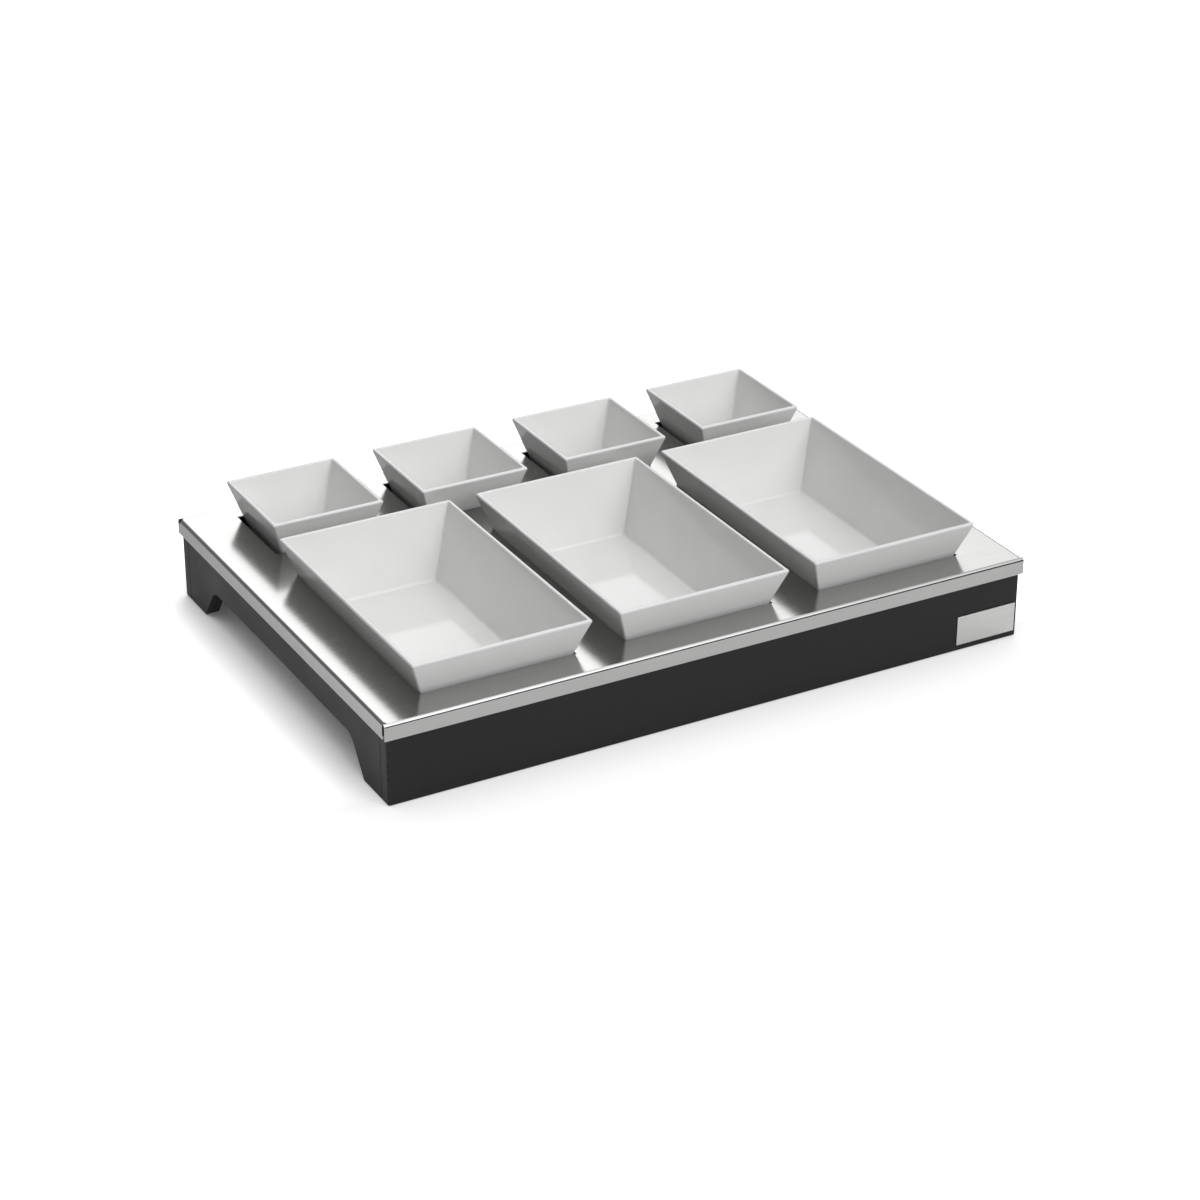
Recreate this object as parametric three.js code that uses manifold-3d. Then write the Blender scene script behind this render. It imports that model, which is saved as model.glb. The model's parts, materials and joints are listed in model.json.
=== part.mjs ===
// A buffet bowl stand: a black board base with arched ends, a folded steel cover with seven cut-outs,
// and seven porcelain bowls that hang in the cut-outs by their flared walls.
// Millimetres. +X runs along the stand, the front faces -Y, +Z is up.
// The origin is on the table, under the middle of the stand.
import * as THREE from "three";
import { mergeVertices } from "three/addons/utils/BufferGeometryUtils.js";
import Module from "manifold-3d";

const wasm = await Module();
wasm.setup();

// Large bowls, front row
const LARGE_LENGTH = 155;
const LARGE_DEPTH = 248;
const LARGE_HEIGHT = 62;
const LARGE_STANDS_PROUD = 30.5;
const LARGE_WALL_TILT = 20;
const LARGE_COUNT = 3;
const LARGE_SPACING = 23;
const LARGE_FRONT_PLAY = 2;

// Small bowls, rear row
const SMALL_LENGTH = 100;
const SMALL_DEPTH = 100;
const SMALL_HEIGHT = 54;
const SMALL_STANDS_PROUD = 31;
const SMALL_WALL_TILT = 18.5;
const SMALL_COUNT = 4;
const SMALL_SPACING = 35;
const SMALL_SIDE_PLAY = 4.6;

// Porcelain
const LIP_WIDTH = 4;
const LIP_ROUND = 1.2;
const BOWL_CORNER_RADIUS = 2;
const BOWL_FLOOR = 4;
const BOWL_FLOOR_FILLET = 3;
const INNER_WALL_EXTRA_TILT = 5;
const FOOT_RING_HEIGHT = 2.5;
const FOOT_RING_WIDTH = 5;
const FOOT_RING_INSET = 3;
const SEAT_GAP = 0.3;

// How the rows lie on the cover
const SIDE_MARGIN = 34.5;
const FRONT_MARGIN = 23;
const ROW_SPACING = 22;
const REAR_MARGIN = 13;

// Cover
const STAND_HEIGHT = 72;
const SHEET = 1.2;
const BEND_INSIDE_RADIUS = 1.8;
const SKIRT_HEIGHT = 14;
const SKIRT_CLEARANCE = 1;
const CORNER_SLIT = 3.8;

// Base
const PANEL_THICKNESS = 12;
const PANEL_CORNER_ROUND = 2;
const FOOT_LENGTH = 44;
const ARCH_HEIGHT = 31;
const ARCH_SLANT = 22;
const ARCH_CORNER_RADIUS = 14;
const RAIL_WIDTH = 20;
const RAIL_HEIGHT = 20;
const RAIL_HOUSING_DEPTH = 6;
const HOUSING_GAP = 0.3;
const PAD_THICKNESS = 0.8;
const PAD_EDGE = 1.5;
const BLOCK_SIDE = 20;
const BLOCK_HEIGHT = 40;
const BLOCK_TOP_GAP = 4;
const SCREW_SHANK = 4;
const SCREW_HEAD = 8;
const SCREW_HEAD_DEPTH = 2.4;
const SCREW_GRIP = 8;
const SCREW_TIP = 4;
const SCREW_END_MARGIN = 11;
const SCREW_CROSS_WIDTH = 1.2;
const SCREW_CROSS_DEPTH = 1.4;
const SCREW_HOLE_GAP = 0.3;
const PLATE_LENGTH = 57;
const PLATE_HEIGHT = 26;
const PLATE_THICKNESS = 1;
const PLATE_END_MARGIN = 3;
const PLATE_ABOVE_TABLE = 6;

// Fineness of the round stretches. An arc of a shape is drawn with twice as many sides as its steps.
const CORNER_STEPS = 3;
const FILLET_STEPS = 3;
const BEND_STEPS = 3;
const ARCH_STEPS = 4;
const SCREW_SIDES = 12;
// How far a cutting shape runs past the faces that it cuts
const CUT_PAST = 2;

// Sizes that follow from the ones above
const largeRow = LARGE_COUNT * LARGE_LENGTH + (LARGE_COUNT - 1) * LARGE_SPACING;
const smallRow = SMALL_COUNT * SMALL_LENGTH + (SMALL_COUNT - 1) * SMALL_SPACING;
const coverLength = Math.max(largeRow, smallRow) + 2 * SIDE_MARGIN;
const coverDepth = FRONT_MARGIN + LARGE_DEPTH + ROW_SPACING + SMALL_DEPTH + REAR_MARGIN;
const largeY = -coverDepth / 2 + FRONT_MARGIN + LARGE_DEPTH / 2;
const smallY = coverDepth / 2 - REAR_MARGIN - SMALL_DEPTH / 2;
const bendRadius = SHEET + BEND_INSIDE_RADIUS;
const overhang = SHEET + SKIRT_CLEARANCE;
const baseLength = coverLength - 2 * overhang;
const baseDepth = coverDepth - 2 * overhang;
const baseTop = STAND_HEIGHT - SHEET;
const baseBottom = PAD_THICKNESS;
const innerLength = baseLength - 2 * PANEL_THICKNESS;
const innerDepth = baseDepth - 2 * PANEL_THICKNESS;
const padLength = FOOT_LENGTH - PANEL_THICKNESS - 2 * PAD_EDGE;
const padWidth = PANEL_THICKNESS - 2 * PAD_EDGE;
const screwLength = BLOCK_SIDE + SCREW_GRIP;
const blockTop = baseTop - BLOCK_TOP_GAP;
const blockBottom = blockTop - BLOCK_HEIGHT;
// The middle of the space between the two rows, where the rail runs
const railY = largeY + LARGE_DEPTH / 2 + ROW_SPACING / 2;

const slope = (degrees) => Math.tan(THREE.MathUtils.degToRad(degrees));

const materials = {
  board: { color: 0x2c2c2b, roughness: 0.45, metalness: 0 },
  steel: { color: 0xb9b9b5, roughness: 0.3, metalness: 1 },
  porcelain: { color: 0xe8e8e5, roughness: 0.15, metalness: 0 },
  rubber: { color: 0x191919, roughness: 0.9, metalness: 0 },
  zinc: { color: 0x9a9a96, roughness: 0.4, metalness: 1 },
  plate: { color: 0xd2d2cf, roughness: 0.35, metalness: 1 },
};

const stand = new THREE.Group();
stand.name = "buffet_bowl_stand";

// Adds one named piece to the stand.
function addPiece(name, geometry, material) {
  geometry.computeVertexNormals();
  const mesh = new THREE.Mesh(geometry, new THREE.MeshStandardMaterial(materials[material]));
  mesh.name = name;
  stand.add(mesh);
  return mesh;
}

// A closed geometry as a solid that can be cut and joined.
function toSolid(geometry) {
  const bare = geometry.clone();
  bare.deleteAttribute("normal");
  bare.deleteAttribute("uv");
  const merged = mergeVertices(bare);
  return new wasm.Manifold(
    new wasm.Mesh({
      numProp: 3,
      vertProperties: new Float32Array(merged.attributes.position.array),
      triVerts: new Uint32Array(merged.index.array),
    }),
  );
}

// A cut or joined solid back as a geometry.
function toGeometry(solid) {
  const mesh = solid.getMesh();
  const geometry = new THREE.BufferGeometry();
  geometry.setAttribute("position", new THREE.BufferAttribute(mesh.vertProperties, 3));
  geometry.setIndex(new THREE.BufferAttribute(mesh.triVerts, 1));
  return geometry;
}

// A box from its lowest to its highest corner.
function boxBetween(low, high) {
  const size = high.map((v, i) => v - low[i]);
  const middle = high.map((v, i) => (v + low[i]) / 2);
  return new THREE.BoxGeometry(...size).translate(...middle);
}

// Turns a shape drawn in X and Z, extruded along its own normal, so that it runs along Y.
const alongY = new THREE.Matrix4().makeBasis(
  new THREE.Vector3(1, 0, 0),
  new THREE.Vector3(0, 0, 1),
  new THREE.Vector3(0, -1, 0),
);

// Turns a shape drawn in Y and Z, extruded along its own normal, so that it runs along X.
const alongX = new THREE.Matrix4().makeBasis(
  new THREE.Vector3(0, 1, 0),
  new THREE.Vector3(0, 0, 1),
  new THREE.Vector3(1, 0, 0),
);

// Extrudes a shape by a length, centred on its own plane.
function extrudeCentred(shape, length, curveSegments) {
  const options = { depth: length, bevelEnabled: false, curveSegments };
  return new THREE.ExtrudeGeometry(shape, options).translate(0, 0, -length / 2);
}

function roundedRectangle(length, depth, radius) {
  const x = length / 2 - radius;
  const y = depth / 2 - radius;
  const shape = new THREE.Shape();
  shape.absarc(x, y, radius, 0, Math.PI / 2);
  shape.absarc(-x, y, radius, Math.PI / 2, Math.PI);
  shape.absarc(-x, -y, radius, Math.PI, 1.5 * Math.PI);
  shape.absarc(x, -y, radius, 1.5 * Math.PI, 2 * Math.PI);
  shape.closePath();
  return shape;
}

// The wall of a bowl as one line of steps, from the recess under it, over the foot ring, up the outside,
// over the lip and down the inside to the floor. inset is the distance in from the rim's outline.
function bowlProfile(height, tilt) {
  const outer = slope(tilt);
  const inner = slope(tilt + INNER_WALL_EXTRA_TILT);
  const floor = FOOT_RING_HEIGHT + BOWL_FLOOR;
  const rim = height - LIP_ROUND;
  const wallFoot = (rim - FOOT_RING_HEIGHT) * outer;
  const ringOuter = wallFoot + FOOT_RING_INSET;
  const ringInner = ringOuter + FOOT_RING_WIDTH;
  const filletTop = LIP_WIDTH + (rim - floor - BOWL_FLOOR_FILLET) * inner;
  const steps = [
    { inset: ringInner, z: FOOT_RING_HEIGHT },
    { inset: ringInner, z: 0 },
    { inset: ringOuter, z: 0 },
    { inset: wallFoot, z: FOOT_RING_HEIGHT },
    { inset: 0, z: rim },
    { inset: LIP_ROUND, z: height },
    { inset: LIP_WIDTH - LIP_ROUND, z: height },
    { inset: LIP_WIDTH, z: rim },
  ];
  for (let i = 0; i <= FILLET_STEPS; i++) {
    const angle = ((i / FILLET_STEPS) * Math.PI) / 2;
    steps.push({
      inset: filletTop + BOWL_FLOOR_FILLET * (1 - Math.cos(angle)),
      z: floor + BOWL_FLOOR_FILLET * (1 - Math.sin(angle)),
    });
  }
  return steps;
}

// A bowl standing on the origin: the rim's outline, moved in and up or down at each step of the profile.
function bowlGeometry(length, depth, height, tilt) {
  const profile = bowlProfile(height, tilt);
  const last = profile.length - 1;
  const outline = roundedRectangle(length, depth, BOWL_CORNER_RADIUS);
  const geometry = new THREE.ExtrudeGeometry(outline, {
    depth: last,
    steps: last,
    bevelEnabled: false,
    curveSegments: CORNER_STEPS,
  });
  const points = geometry.attributes.position;
  for (let i = 0; i < points.count; i++) {
    const step = profile[Math.round(points.getZ(i))];
    const x = points.getX(i);
    const y = points.getY(i);
    points.setXYZ(i, x - Math.sign(x) * step.inset, y - Math.sign(y) * step.inset, step.z);
  }
  return geometry;
}

const largeBowl = {
  length: LARGE_LENGTH,
  depth: LARGE_DEPTH,
  height: LARGE_HEIGHT,
  proud: LARGE_STANDS_PROUD,
  tilt: LARGE_WALL_TILT,
  pitch: LARGE_LENGTH + LARGE_SPACING,
  count: LARGE_COUNT,
  y: largeY,
  sidePlay: 0,
  frontPlay: LARGE_FRONT_PLAY,
  name: "large_bowl",
};
const smallBowl = {
  length: SMALL_LENGTH,
  depth: SMALL_DEPTH,
  height: SMALL_HEIGHT,
  proud: SMALL_STANDS_PROUD,
  tilt: SMALL_WALL_TILT,
  pitch: SMALL_LENGTH + SMALL_SPACING,
  count: SMALL_COUNT,
  y: smallY,
  sidePlay: SMALL_SIDE_PLAY,
  frontPlay: 0,
  name: "small_bowl",
};

// The middle of each cut-out of a row, along the stand.
function rowPlaces(bowl) {
  const places = [];
  for (let i = 0; i < bowl.count; i++) {
    places.push((i - (bowl.count - 1) / 2) * bowl.pitch);
  }
  return places;
}

// The bowls of one row, numbered from the left. One with side play stands at the right of its cut-out.
function addBowls(bowl) {
  const geometry = bowlGeometry(bowl.length, bowl.depth, bowl.height, bowl.tilt);
  rowPlaces(bowl).forEach((x, i) => {
    const mesh = addPiece(`${bowl.name}_${i + 1}`, geometry.clone(), "porcelain");
    const bottom = STAND_HEIGHT + bowl.proud - bowl.height;
    mesh.position.set(x + bowl.sidePlay / 2, bowl.y, bottom);
  });
}

// The cut-outs of one row, as wide as the bowl is where it passes through the cover's upper face, and
// with the row's play beside or in front of it.
function cutOuts(bowl) {
  const inset = (bowl.proud - LIP_ROUND) * slope(bowl.tilt);
  const halfLength = bowl.length / 2 - inset + SEAT_GAP + bowl.sidePlay / 2;
  const halfDepth = bowl.depth / 2 - inset + SEAT_GAP;
  return rowPlaces(bowl).map((x) =>
    toSolid(
      boxBetween(
        [x - halfLength, bowl.y - halfDepth - bowl.frontPlay, baseTop - CUT_PAST],
        [x + halfLength, bowl.y + halfDepth, STAND_HEIGHT + CUT_PAST],
      ),
    ),
  );
}

// A section through the folded sheet: straight sides with the two upper corners bent round.
function bentSection(width, top, bottom, radius) {
  const half = width / 2;
  const shape = new THREE.Shape();
  shape.moveTo(-half, bottom);
  shape.lineTo(half, bottom);
  shape.absarc(half - radius, top - radius, radius, 0, Math.PI / 2);
  shape.absarc(-half + radius, top - radius, radius, Math.PI / 2, Math.PI);
  shape.closePath();
  return shape;
}

// A block whose four upper edges are bent round: one section run along Y and one along X, in common.
function bentBlock(length, depth, top, bottom, radius) {
  const across = extrudeCentred(bentSection(length, top, bottom, radius), depth, BEND_STEPS);
  const along = extrudeCentred(bentSection(depth, top, bottom, radius), length, BEND_STEPS);
  return toSolid(across.applyMatrix4(alongY)).intersect(toSolid(along.applyMatrix4(alongX)));
}

// A sheet of the given width, folded down along two opposite edges and run the given distance along an axis.
function foldedSheet(width, distance, axis) {
  const skirtBottom = STAND_HEIGHT - SKIRT_HEIGHT;
  const section = bentSection(width, STAND_HEIGHT, skirtBottom, bendRadius);
  const hollow = bentSection(width - 2 * SHEET, baseTop, skirtBottom - CUT_PAST, BEND_INSIDE_RADIUS);
  const outside = toSolid(extrudeCentred(section, distance, BEND_STEPS).applyMatrix4(axis));
  return outside.subtract(
    toSolid(extrudeCentred(hollow, distance + 2 * CUT_PAST, BEND_STEPS).applyMatrix4(axis)),
  );
}

// The cover: a folded sheet with the cut-outs for both rows. The long skirts run to the corners, and the end
// skirts stop short of them, which leaves a slit in each end beside each corner.
function coverGeometry() {
  const long = foldedSheet(coverDepth, coverLength, alongX);
  const flatLength = coverLength - 2 * bendRadius;
  const flatDepth = coverDepth - 2 * bendRadius;
  const below = STAND_HEIGHT - SKIRT_HEIGHT - CUT_PAST;
  const above = STAND_HEIGHT + CUT_PAST;
  const pastEnds = boxBetween(
    [-coverLength / 2 - CUT_PAST, -flatDepth / 2, below],
    [coverLength / 2 + CUT_PAST, flatDepth / 2, above],
  );
  const plate = boxBetween(
    [-flatLength / 2, -coverDepth / 2, below - CUT_PAST],
    [flatLength / 2, coverDepth / 2, above + CUT_PAST],
  );
  const ends = foldedSheet(coverLength, coverDepth - 2 * (SHEET + CORNER_SLIT), alongY);
  let cover = long.subtract(toSolid(pastEnds).subtract(toSolid(plate))).add(ends);
  [...cutOuts(largeBowl), ...cutOuts(smallBowl)].forEach((cut) => {
    cover = cover.subtract(cut);
  });
  return toGeometry(cover);
}

// The front panel, seen from above: a board with its two outer corners eased.
function longPanelGeometry() {
  const half = baseLength / 2;
  const outer = -baseDepth / 2;
  const inner = outer + PANEL_THICKNESS;
  const r = PANEL_CORNER_ROUND;
  const shape = new THREE.Shape();
  shape.moveTo(half, inner);
  shape.lineTo(-half, inner);
  shape.absarc(-half + r, outer + r, r, Math.PI, 1.5 * Math.PI);
  shape.absarc(half - r, outer + r, r, 1.5 * Math.PI, 2 * Math.PI);
  shape.closePath();
  const options = { depth: baseTop - baseBottom, bevelEnabled: false, curveSegments: BEND_STEPS };
  return new THREE.ExtrudeGeometry(shape, options).translate(0, 0, baseBottom);
}

// The right end panel, seen from the end: a board with the arch cut up into it between the two feet.
function endPanelGeometry() {
  const half = innerDepth / 2;
  const archFoot = baseDepth / 2 - FOOT_LENGTH;
  const archTop = archFoot - ARCH_SLANT;
  const rise = Math.atan2(ARCH_HEIGHT - baseBottom, ARCH_SLANT);
  const r = ARCH_CORNER_RADIUS;
  const roundY = archTop - r * Math.tan(rise / 2);
  const roundZ = ARCH_HEIGHT - r;
  const up = Math.PI / 2;
  const shape = new THREE.Shape();
  shape.moveTo(-half, baseBottom);
  shape.lineTo(-archFoot, baseBottom);
  shape.absarc(-roundY, roundZ, r, up + rise, up, true);
  shape.absarc(roundY, roundZ, r, up, up - rise, true);
  shape.lineTo(archFoot, baseBottom);
  shape.lineTo(half, baseBottom);
  shape.lineTo(half, baseTop);
  shape.lineTo(-half, baseTop);
  shape.closePath();
  const geometry = extrudeCentred(shape, PANEL_THICKNESS, ARCH_STEPS).applyMatrix4(alongX);
  return geometry.translate((baseLength - PANEL_THICKNESS) / 2, 0, 0);
}

// The rail between the end panels, up to a given height. A gap widens it into the housing for its ends.
function railGeometry(gap, top) {
  const halfLength = innerLength / 2 + RAIL_HOUSING_DEPTH - HOUSING_GAP + gap;
  const halfWidth = RAIL_WIDTH / 2 + gap;
  return boxBetween(
    [-halfLength, railY - halfWidth, baseTop - RAIL_HEIGHT - gap],
    [halfLength, railY + halfWidth, top],
  );
}

// Half of a countersunk screw's section, from its tip up to the edge of its head. gap widens it all round.
function screwSection(gap) {
  const shank = SCREW_SHANK / 2 + gap;
  const end = -screwLength - gap;
  return [
    new THREE.Vector2(0, end),
    new THREE.Vector2(shank, end + SCREW_TIP),
    new THREE.Vector2(shank, -SCREW_HEAD_DEPTH),
    new THREE.Vector2(SCREW_HEAD / 2 + gap, 0),
  ];
}

// Turns a section, closed at its top end by a flat face, about the vertical axis.
function turned(section) {
  const top = new THREE.Vector2(0, section.at(-1).y);
  return new THREE.LatheGeometry([...section, top], SCREW_SIDES).rotateX(Math.PI / 2);
}

// The cross-shaped recess in a screw's head.
function crossRecess() {
  const arm = SCREW_HEAD / 4;
  const half = SCREW_CROSS_WIDTH / 2;
  const one = boxBetween([-arm, -half, -SCREW_CROSS_DEPTH], [arm, half, CUT_PAST]);
  const other = boxBetween([-half, -arm, -SCREW_CROSS_DEPTH], [half, arm, CUT_PAST]);
  return toSolid(one).add(toSolid(other));
}

// Each corner of the base: which way it lies from the middle, and its name.
const corners = [
  { name: "front_left", sx: -1, sy: -1 },
  { name: "front_right", sx: 1, sy: -1 },
  { name: "rear_left", sx: -1, sy: 1 },
  { name: "rear_right", sx: 1, sy: 1 },
];

// The two screws of a corner: the upper one goes into the end panel, the lower one into the long panel.
function cornerScrews({ name, sx, sy }) {
  const x = sx * (innerLength / 2 - BLOCK_SIDE);
  const y = sy * (innerDepth / 2 - BLOCK_SIDE);
  const middleX = sx * (innerLength / 2 - BLOCK_SIDE / 2);
  const middleY = sy * (innerDepth / 2 - BLOCK_SIDE / 2);
  return [
    {
      name: `corner_screw_${name}_end`,
      head: new THREE.Vector3(x, middleY, blockTop - SCREW_END_MARGIN),
      direction: new THREE.Vector3(sx, 0, 0),
    },
    {
      name: `corner_screw_${name}_long`,
      head: new THREE.Vector3(middleX, y, blockBottom + SCREW_END_MARGIN),
      direction: new THREE.Vector3(0, sy, 0),
    },
  ];
}

const down = new THREE.Vector3(0, 0, -1);
const turnTo = (direction) => new THREE.Quaternion().setFromUnitVectors(down, direction);

// The hole of one screw, where it stands, run on past the face that the head is sunk into.
function screwHole({ head, direction }) {
  const place = new THREE.Matrix4().makeRotationFromQuaternion(turnTo(direction)).setPosition(head);
  const section = screwSection(SCREW_HOLE_GAP);
  section.push(new THREE.Vector2(section.at(-1).x, CUT_PAST));
  return toSolid(turned(section).applyMatrix4(place));
}

const allScrews = corners.flatMap(cornerScrews);
const allHoles = allScrews.map(screwHole);

// Cuts every screw hole that reaches into a piece.
function withHoles(geometry) {
  let solid = toSolid(geometry);
  allHoles.forEach((hole) => {
    solid = solid.subtract(hole);
  });
  return solid;
}

function addBase() {
  const halfTurn = (geometry) => geometry.rotateZ(Math.PI);
  // The boards' upper edges are eased to the radius of the bend that goes over them.
  const eased = bentBlock(baseLength, baseDepth, baseTop, baseBottom - CUT_PAST, BEND_INSIDE_RADIUS);
  const panel = (geometry) => withHoles(geometry).intersect(eased);
  addPiece("front_panel", toGeometry(panel(longPanelGeometry())), "board");
  addPiece("rear_panel", toGeometry(panel(halfTurn(longPanelGeometry()))), "board");
  const housing = toSolid(railGeometry(HOUSING_GAP, baseTop + CUT_PAST));
  const right = panel(endPanelGeometry()).subtract(housing);
  const left = panel(halfTurn(endPanelGeometry())).subtract(housing);
  addPiece("right_end_panel", toGeometry(right), "board");
  addPiece("left_end_panel", toGeometry(left), "board");
  addPiece("cover_rail", railGeometry(0, baseTop), "board");
  addPiece(
    "name_plate",
    boxBetween(
      [
        baseLength / 2 - PLATE_END_MARGIN - PLATE_LENGTH,
        -baseDepth / 2 - PLATE_THICKNESS,
        PLATE_ABOVE_TABLE,
      ],
      [baseLength / 2 - PLATE_END_MARGIN, -baseDepth / 2, PLATE_ABOVE_TABLE + PLATE_HEIGHT],
    ),
    "plate",
  );
}

// What stands in one corner: the block with its two screws, and the pad under the end panel's foot.
function addCorner(corner) {
  const { name, sx, sy } = corner;
  const near = [sx * (innerLength / 2 - BLOCK_SIDE), sy * (innerDepth / 2 - BLOCK_SIDE)];
  const far = [(sx * innerLength) / 2, (sy * innerDepth) / 2];
  const block = boxBetween(
    [Math.min(near[0], far[0]), Math.min(near[1], far[1]), blockBottom],
    [Math.max(near[0], far[0]), Math.max(near[1], far[1]), blockTop],
  );
  addPiece(`corner_block_${name}`, toGeometry(withHoles(block)), "board");

  const padOutline = roundedRectangle(padWidth, padLength, PAD_EDGE);
  const pad = extrudeCentred(padOutline, PAD_THICKNESS, BEND_STEPS);
  const padMesh = addPiece(`foot_pad_${name}`, pad, "rubber");
  padMesh.position.set(
    (sx * (baseLength - PANEL_THICKNESS)) / 2,
    sy * (innerDepth / 2 - PAD_EDGE - padLength / 2),
    PAD_THICKNESS / 2,
  );

  cornerScrews(corner).forEach((screw) => {
    const solid = toSolid(turned(screwSection(0))).subtract(crossRecess());
    const mesh = addPiece(screw.name, toGeometry(solid), "zinc");
    mesh.position.copy(screw.head);
    mesh.quaternion.copy(turnTo(screw.direction));
  });
}

addBase();
corners.forEach(addCorner);
addPiece("steel_cover", coverGeometry(), "steel");
addBowls(largeBowl);
addBowls(smallBowl);

export default stand;
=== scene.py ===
# %% [markdown]
# # A buffet bowl stand
# Seven porcelain bowls hang in a folded steel cover, and the cover sits over a low base of black
# boards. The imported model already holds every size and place. This lesson gives each piece the
# edges and the finish of the real thing, and then a studio to be seen in. Lengths are in metres,
# +Z is up, and the front faces -Y.

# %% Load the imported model
import json
import math
from collections import namedtuple

import bmesh
import bpy
from mathutils import Matrix, Vector


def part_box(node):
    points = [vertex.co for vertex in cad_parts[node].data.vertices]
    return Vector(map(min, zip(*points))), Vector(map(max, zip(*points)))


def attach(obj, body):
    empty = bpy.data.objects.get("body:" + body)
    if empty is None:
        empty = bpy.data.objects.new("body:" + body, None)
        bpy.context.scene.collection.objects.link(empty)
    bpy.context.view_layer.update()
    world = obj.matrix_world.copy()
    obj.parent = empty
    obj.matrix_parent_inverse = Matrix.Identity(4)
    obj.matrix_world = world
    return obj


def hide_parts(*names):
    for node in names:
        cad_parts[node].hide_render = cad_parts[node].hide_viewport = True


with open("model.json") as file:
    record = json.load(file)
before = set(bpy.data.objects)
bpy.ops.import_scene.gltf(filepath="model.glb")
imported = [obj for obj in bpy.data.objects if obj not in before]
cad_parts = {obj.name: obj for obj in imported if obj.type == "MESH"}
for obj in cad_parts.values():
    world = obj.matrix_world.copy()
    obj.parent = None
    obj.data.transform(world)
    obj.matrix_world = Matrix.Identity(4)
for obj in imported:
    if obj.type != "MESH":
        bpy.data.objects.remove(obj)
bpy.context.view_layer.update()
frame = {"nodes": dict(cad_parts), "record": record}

MM = 0.001


def in_mm(box):
    """The two corners of a box in millimetres, for printing."""
    return [tuple(round(c / MM, 1) for c in corner) for corner in box]


# %% [markdown]
# ## Which piece belongs where
# Each node of the imported model rides on a body, such as the cover or one bowl. The body could be
# typed in again for each piece. Looking it up in the record is safer, because a piece then can't
# be put on the wrong body.

# %% Bodies by node
bodies = frame["record"]["behaviour"]["bodies"]
body_of = {node: body for body, nodes in bodies.items() for node in nodes}


# %% Turn a bmesh into a finished piece
def finish_piece(node, bm, material):
    """Makes the object that stands for one node, smooth shaded, in that node's place."""
    mesh = bpy.data.meshes.new("finished_" + node)
    open_edges = sum(1 for edge in bm.edges if not edge.is_manifold)
    bm.to_mesh(mesh)
    bm.free()
    mesh.shade_smooth()
    mesh.materials.append(material)
    piece = bpy.data.objects.new(mesh.name, mesh)
    bpy.context.scene.collection.objects.link(piece)
    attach(piece, body_of[node])
    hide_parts(node)
    print(f"{piece.name}: {len(mesh.polygons)} faces, {open_edges} open edges")
    return piece


def even_shading(piece):
    """Lets the large flat faces set the shading, so that only the rounded edges turn."""
    piece.modifiers.new("even shading", "WEIGHTED_NORMAL").keep_sharp = True


# %% [markdown]
# ## The camera
# The stand is seen from the front left and from a little above, through a long lens. The camera
# could be nudged by eye until the render fits. Here the lens, the two angles and the distance come
# from fitting the edges of the cover and the rims, so the values are used as they were found. The
# small shift puts the middle of the lens where it was in the picture.

# %% Camera
IMAGE_SIDE = 1200
LENS_PIXELS = 3111.2
LENS_MIDDLE = (595.4, 614.5)
CAMERA_AZIMUTH = math.radians(-28.79)
CAMERA_ELEVATION = math.radians(27.50)
CAMERA_DISTANCE = 2.6206
SENSOR_WIDTH = 36

lens = bpy.data.cameras.new("studio_camera")
lens.sensor_width = SENSOR_WIDTH
lens.lens = SENSOR_WIDTH * LENS_PIXELS / IMAGE_SIDE
lens.shift_x = 0.5 - LENS_MIDDLE[0] / IMAGE_SIDE
lens.shift_y = LENS_MIDDLE[1] / IMAGE_SIDE - 0.5
camera = bpy.data.objects.new("studio_camera", lens)
bpy.context.scene.collection.objects.link(camera)
towards_camera = Vector((
    math.sin(CAMERA_AZIMUTH) * math.cos(CAMERA_ELEVATION),
    -math.cos(CAMERA_AZIMUTH) * math.cos(CAMERA_ELEVATION),
    math.sin(CAMERA_ELEVATION),
))
camera.location = towards_camera * CAMERA_DISTANCE
camera.rotation_euler = towards_camera.to_track_quat("Z", "Y").to_euler()
bpy.context.scene.camera = camera
bpy.context.scene.view_settings.view_transform = "Standard"
print("lens", round(lens.lens, 2), "mm, camera at", [round(c, 3) for c in camera.location])

# %% [markdown]
# ## Shader nodes in short
# A finish is a small graph of nodes. Adding a node, setting its options and joining its sockets
# could be written out each time, at many lines for each node. A few helpers make a finish short
# enough to read at a glance. A socket gets either a plain value or the output of another node.


# %% Join nodes
def feed(tree, socket, source):
    """Gives a socket a value, or joins it to the output of another node."""
    if isinstance(source, bpy.types.NodeSocket):
        tree.links.new(source, socket)
    else:
        socket.default_value = source


def add_node(tree, kind, sockets, **options):
    """Adds a shader node with its options set and its input sockets fed."""
    made = tree.nodes.new("ShaderNode" + kind)
    for name, value in options.items():
        setattr(made, name, value)
    for name, source in sockets.items():
        feed(tree, made.inputs[name], source)
    return made


print("nodes can be joined")


# %% Work with values and colours
def between(tree, factor, low, high, from_low=0.0, from_high=1.0):
    """Maps a factor onto the range from low to high."""
    sockets = {"Value": factor, "From Min": from_low, "From Max": from_high}
    sockets.update({"To Min": low, "To Max": high})
    return add_node(tree, "MapRange", sockets).outputs["Result"]


def combine(tree, operation, first, second):
    """Joins two values by a sum, a product or another operation."""
    return add_node(tree, "Math", {0: first, 1: second}, operation=operation).outputs[0]


def blend_values(tree, factor, first, second):
    """Mixes two values by a factor."""
    sockets = {0: factor, 2: first, 3: second}
    return add_node(tree, "Mix", sockets, data_type="FLOAT").outputs[0]


def blend_colours(tree, factor, first, second):
    """Mixes two colours by a factor."""
    sockets = {0: factor, 6: first, 7: second}
    return add_node(tree, "Mix", sockets, data_type="RGBA").outputs[2]


print("values and colours can be mixed")


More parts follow.
